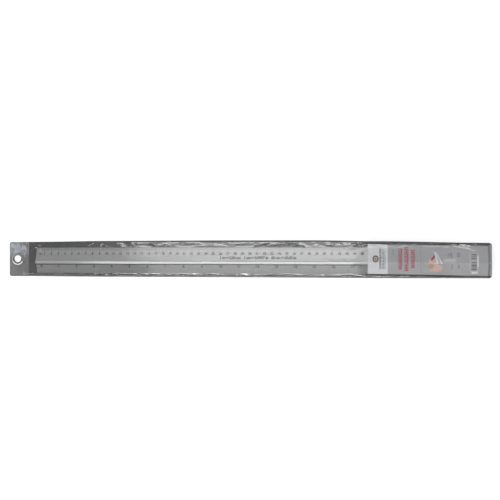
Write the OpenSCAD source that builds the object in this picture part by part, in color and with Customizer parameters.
// Steel safety ruler, 60 cm and 24 inch, in its clear hanging sleeve with a printed card.
// X runs along the ruler, Y across it towards the centimetre edge, and Z up from the sleeve's back.
// The origin is the middle of the sleeve's back face. All sizes are in millimetres.

/* [Ruler] */
// Length of the steel blade
ruler_len = 612; // [300:1:640]
// Width of the blade, from cutting edge to rear edge
ruler_w = 35; // [33:0.5:36]
// Thickness of the folded steel sheet
sheet_t = 1.2; // [0.8:0.1:1.4]
// Slope of the wide finger face, in degrees
finger_slope = 15; // [14.5:0.5:16]
// Distance from the rear edge, over the finger face and the ridge, to the guard wall
finger_run = 22.5; // [22:0.5:23]
// Width of the nearly level ridge beside the guard wall
ridge_w = 3.9; // [3.2:0.1:4.4]
// Height of the finger guard's wall
guard_drop = 3; // [2.6:0.1:3.1]
// Steepness of the guard wall, in degrees
guard_angle = 78; // [70:1:84]
// Slope of the narrow inch face, in degrees
inch_slope = 12.5; // [10:0.5:12.5]

/* [Grip strips] */
// Width of each rubber strip
grip_w = 5.2; // [3:0.1:6]
// Distance of a strip from the blade's edge
grip_inset = 0.6; // [0.3:0.1:1.5]

/* [Sleeve] */
// Thickness of the sleeve's film
film_t = 0.3; // [0.2:0.05:0.35]
// Width of the sleeve, over both welded seams
sleeve_w = 51; // [51:0.5:56]
// Width of a welded seam
seam_w = 2; // [1.5:0.1:2.2]
// Length of the hanging tab
tab_len = 25.4; // [24:0.1:40]
// Diameter of the hanging hole
hole_d = 10; // [6:0.5:12]
// Outer diameter of the ring pressed round the hanging hole
ring_d = 16.4; // [14:0.2:20]

/* [Card] */
// Length of the printed card
card_len = 154; // [80:1:180]
// Width of the printed card, laid flat over the guard
card_w = 40.6; // [38:0.1:41]
// Thickness of the card
card_t = 0.35; // [0.2:0.05:0.4]
// Length of the white label at the card's head
label_len = 26; // [15:1:40]
// Size of the barcode sticker, along the ruler and across it
sticker_size = [12.4, 26]; // [8:0.1:30]

/* [Hidden] */
$fn = 96;

steel = [0.74, 0.75, 0.76];
rubber = [0.08, 0.08, 0.09];
clear_film = [0.75, 0.78, 0.80, 0.45];
smoke_film = [0.36, 0.38, 0.40, 0.75];
weld_film = [0.55, 0.57, 0.59, 0.80];
grey_card = [0.66, 0.66, 0.68];
white_label = [0.90, 0.91, 0.93];

// Lengthwise places.
foot_room = 1.5;                               // between the blade's end and the foot of the sleeve
foot_seam = 4.2;                               // width of the welded foot seam
mouth_room = 15;                               // between the sleeve's mouth and the blade
fold_gap = 0.3;                                // the film's fold between sleeve and tab
sleeve_len = tab_len + fold_gap + mouth_room + ruler_len + foot_room + film_t + foot_seam;
tab_x0 = -sleeve_len / 2;
fold_x = tab_x0 + tab_len + fold_gap / 2;
pocket_x0 = fold_x + fold_gap / 2;
ruler_x0 = pocket_x0 + mouth_room;
ruler_x1 = ruler_x0 + ruler_len;
foot_x = ruler_x1 + foot_room;
sleeve_x1 = sleeve_len / 2;
card_x1 = ruler_x1 + 0.8;
card_x0 = card_x1 - card_len;
hole_x = tab_x0 + 11.3;
head_corner = 3;                               // corner radius at the tab
foot_corner = 4;                               // corner radius at the foot

// Crosswise section of the blade, as the line through the middle of its sheet: Y, Z.
ruler_shift = -2;                              // the blade lies a little towards the sleeve's front seam
underside_z = 0.9;                             // where the rubber strips stand
rear_z = underside_z + 1.45;
rear_y = ruler_shift + ruler_w / 2;
front_y = ruler_shift - ruler_w / 2;
ridge_slope = 1.5;
ridge_y = rear_y - finger_run + ridge_w;
ridge_rear = [ridge_y, rear_z + (rear_y - ridge_y) * tan(finger_slope)];
guard_top = ridge_rear + ridge_w * [-1, tan(ridge_slope)];
guard_foot = guard_top - guard_drop * [1 / tan(guard_angle), 1];
front_z = guard_foot.y - (guard_foot.x - front_y) * tan(inch_slope);
blade_line = [[rear_y, rear_z], ridge_rear, guard_top, guard_foot, [front_y, front_z]];
ridge_r = 4;                                   // bend radius between finger face and ridge
crest_r = 1.4;                                 // bend radius of the guard's crest, at the sheet's middle
foot_r = 1.0;                                  // bend radius at the guard's foot
bend_steps = 12;                               // straight pieces in each bend
blade_corner = 1.2;                            // the blade's corners, seen from above

// Crosswise section of the card, which is flexed over the guard: the line through its middle.
card_gap = 0.35;                               // between the blade's crest and the card
crest_top = bend_centre(ridge_rear, guard_top, guard_foot, crest_r).y + crest_r + sheet_t / 2;
card_peak = [guard_top.x + 2.1, crest_top + card_gap + card_t / 2 + 0.25];
card_rear_slope = 12.4;
card_front_slope = 18.2;
card_rear_share = 0.6;                         // share of the card's width behind the guard
card_line = [
    card_peak + card_w * card_rear_share * [cos(card_rear_slope), -sin(card_rear_slope)],
    card_peak,
    card_peak - card_w * (1 - card_rear_share) * [cos(card_front_slope), sin(card_front_slope)],
];
card_r = 4;
print_t = 0.12;                                // thickness of a paper label

// Crosswise section of the sleeve's front film, from its rear seam to its front seam.
film_gap = 0.3;
film_rise = film_gap + print_t + (card_t + film_t) / 2;
seam_z = 1.5 * film_t;
seam_y = sleeve_w / 2;
bead_w = 0.9;                                  // the raised line of a weld
bead_h = 0.15;
film_line = [
    [seam_y, seam_z],
    [seam_y - seam_w, seam_z],
    card_line[0] + [0.55, film_rise + 0.1],
    card_peak + [0, film_rise + 0.1],
    card_line[2] + [-0.55, film_rise + 0.1],
    [seam_w - seam_y, seam_z],
    [-seam_y, seam_z],
];
film_radii = [0.8, 1.5, 4.5, 1.5, 0.8];

// Unit vector from a to b, and the vector a quarter turn to its left.
function unit(a, b) = (b - a) / norm(b - a);
function left(v) = [-v.y, v.x];
// The turn at b on the way from a to c, positive to the left, and how far before b its arc starts.
function turn(a, b, c) = let(u = unit(a, b), v = unit(b, c)) atan2(u.x * v.y - u.y * v.x, u * v);
function setback(a, b, c, r) = r * tan(abs(turn(a, b, c)) / 2);
function bend_centre(a, b, c, r) =
    b - unit(a, b) * setback(a, b, c, r) + left(unit(a, b)) * (turn(a, b, c) > 0 ? r : -r);
// Points along one bend, for a line that runs shift to the left of the bent line.
function bend_points(a, b, c, r, shift) =
    let(
        centre = bend_centre(a, b, c, r),
        hand = turn(a, b, c) > 0 ? 1 : -1,
        from = left(unit(a, b)) * -hand,
        start = atan2(from.y, from.x)
    )
    [for (k = [0 : bend_steps])
        let(angle = start + turn(a, b, c) * k / bend_steps)
            centre + (r - hand * shift) * [cos(angle), sin(angle)]];
// The line that runs shift to the left of a bent line, with an arc at each bend.
function side_line(line, radii, shift) = let(last = len(line) - 1) [
    line[0] + left(unit(line[0], line[1])) * shift,
    each [for (i = [1 : last - 1])
        each bend_points(line[i - 1], line[i], line[i + 1], radii[i - 1], shift)],
    line[last] + left(unit(line[last - 1], line[last])) * shift,
];
function reversed(list) = [for (i = [len(list) - 1 : -1 : 0]) list[i]];
// Height of the blade's underside over a point across it, on the finger face or the inch face.
function under_finger(y) =
    rear_z + (rear_y - y) * tan(finger_slope) - sheet_t / 2 / cos(finger_slope);
function under_inch(y) =
    front_z + (y - front_y) * tan(inch_slope) - sheet_t / 2 / cos(inch_slope);

// A layer along a bent line, from low to high above it. The line runs from the rear to the front.
module bent_layer(line, radii, low, high) {
    polygon(concat(side_line(line, radii, -low), reversed(side_line(line, radii, -high))));
}

// A strip of thickness t with a bent line through its middle.
module bent_strip(line, radii, t) {
    bent_layer(line, radii, -t / 2, t / 2);
}

// Draws a crosswise section in Y and Z, and extrudes it along X.
module along_x(x0, length) {
    translate([x0, 0, 0]) rotate([90, 0, 90]) linear_extrude(length) children();
}

// A plan outline from x0 to x1 with round corners at each end.
module rounded_plan(x0, x1, y0, y1, r0, r1) {
    difference() {
        translate([x0, y0]) square([x1 - x0, y1 - y0]);
        for (y = [y0, y1]) {
            inward = y == y0 ? 1 : -1;
            corner_cut([x0, y], [1, inward], r0);
            corner_cut([x1, y], [-1, inward], r1);
        }
    }
}

// What is cut away outside the arc of one round corner.
module corner_cut(at, inward, r) {
    if (r > 0) translate(at) difference() {
        translate([inward.x > 0 ? -1 : -r, inward.y > 0 ? -1 : -r]) square(r + 1);
        translate([inward.x * r, inward.y * r]) circle(r);
    }
}

module ruler_blade() {
    color(steel) intersection() {
        along_x(ruler_x0, ruler_len) bent_strip(blade_line, [ridge_r, crest_r, foot_r], sheet_t);
        linear_extrude(20)
            rounded_plan(ruler_x0, ruler_x1, front_y - sheet_t, rear_y + sheet_t,
                blade_corner + sheet_t, blade_corner + sheet_t);
    }
}

// A rubber strip that fills the wedge between the blade's underside and the surface it stands on.
module grip_strip(y0, y1, z0, z1) {
    end_inset = 4;
    color(rubber) along_x(ruler_x0 + end_inset, ruler_len - 2 * end_inset)
        polygon([[y0, underside_z], [y1, underside_z], [y1, z1], [y0, z0]]);
}

module grip_strip_rear() {
    y1 = rear_y - grip_inset;
    grip_strip(y1 - grip_w, y1, under_finger(y1 - grip_w), under_finger(y1));
}

module grip_strip_front() {
    y0 = front_y + grip_inset;
    grip_strip(y0, y0 + grip_w, under_inch(y0), under_inch(y0 + grip_w));
}

module sleeve_back_film() {
    color(smoke_film) linear_extrude(film_t)
        rounded_plan(pocket_x0, sleeve_x1, -seam_y, seam_y, 0, foot_corner);
}

// The arched front film, its closed foot and the flat seam round it.
module sleeve_front_film() {
    color(clear_film) {
        along_x(pocket_x0, foot_x + film_t - pocket_x0) bent_strip(film_line, film_radii, film_t);
        along_x(foot_x, film_t) polygon(concat(
            [[seam_y, film_t]], side_line(film_line, film_radii, -film_t / 2), [[-seam_y, film_t]]
        ));
        translate([0, 0, film_t]) linear_extrude(film_t)
            rounded_plan(foot_x + film_t, sleeve_x1, -seam_y, seam_y, 0, foot_corner);
    }
}

// The raised line where the two films are melted together along one side.
module side_weld(y) {
    color(weld_film) translate([pocket_x0, y - bead_w / 2, 2 * film_t])
        cube([foot_x - pocket_x0, bead_w, bead_h]);
}

module side_weld_rear() {
    side_weld(seam_y - seam_w / 2);
}

module side_weld_front() {
    side_weld(seam_w / 2 - seam_y);
}

module foot_weld() {
    middle_x = sleeve_x1 - foot_seam / 2;
    color(weld_film) translate([middle_x - bead_w / 2, foot_corner - seam_y, 2 * film_t])
        cube([bead_w, sleeve_w - 2 * foot_corner, bead_h]);
}

// The hanging tab: two films welded into one, with the hole through both.
module hang_tab_film() {
    color(smoke_film) linear_extrude(2 * film_t) difference() {
        rounded_plan(tab_x0, fold_x - fold_gap / 2, -seam_y, seam_y, head_corner, 0);
        translate([hole_x, 0]) circle(d = hole_d);
    }
}

module hang_hole_ring() {
    ring_h = 0.2;
    color(weld_film) translate([hole_x, 0, 2 * film_t]) linear_extrude(ring_h) difference() {
        circle(d = ring_d);
        circle(d = hole_d);
    }
}

module card_insert() {
    color(grey_card) along_x(card_x0, card_len) bent_strip(card_line, [card_r], card_t);
}

// Paper on top of the card, over width rear behind the peak and width front before it.
module on_card(x0, length, rear, front) {
    line = [
        card_peak + rear * [cos(card_rear_slope), -sin(card_rear_slope)],
        card_peak,
        card_peak - front * [cos(card_front_slope), sin(card_front_slope)],
    ];
    along_x(x0, length) bent_layer(line, [card_r], card_t / 2, card_t / 2 + print_t);
}

module card_head_label() {
    margin = 0.2;
    color(white_label) on_card(card_x0 + margin, label_len,
        card_w * card_rear_share - margin, card_w * (1 - card_rear_share) - margin);
}

module barcode_sticker() {
    from_foot = 12;
    color(white_label) on_card(card_x1 - from_foot - sticker_size.x, sticker_size.x,
        sticker_size.y * 0.57, sticker_size.y * 0.43);
}

ruler_blade();
grip_strip_rear();
grip_strip_front();
sleeve_back_film();
sleeve_front_film();
side_weld_rear();
side_weld_front();
foot_weld();
hang_tab_film();
hang_hole_ring();
card_insert();
card_head_label();
barcode_sticker();
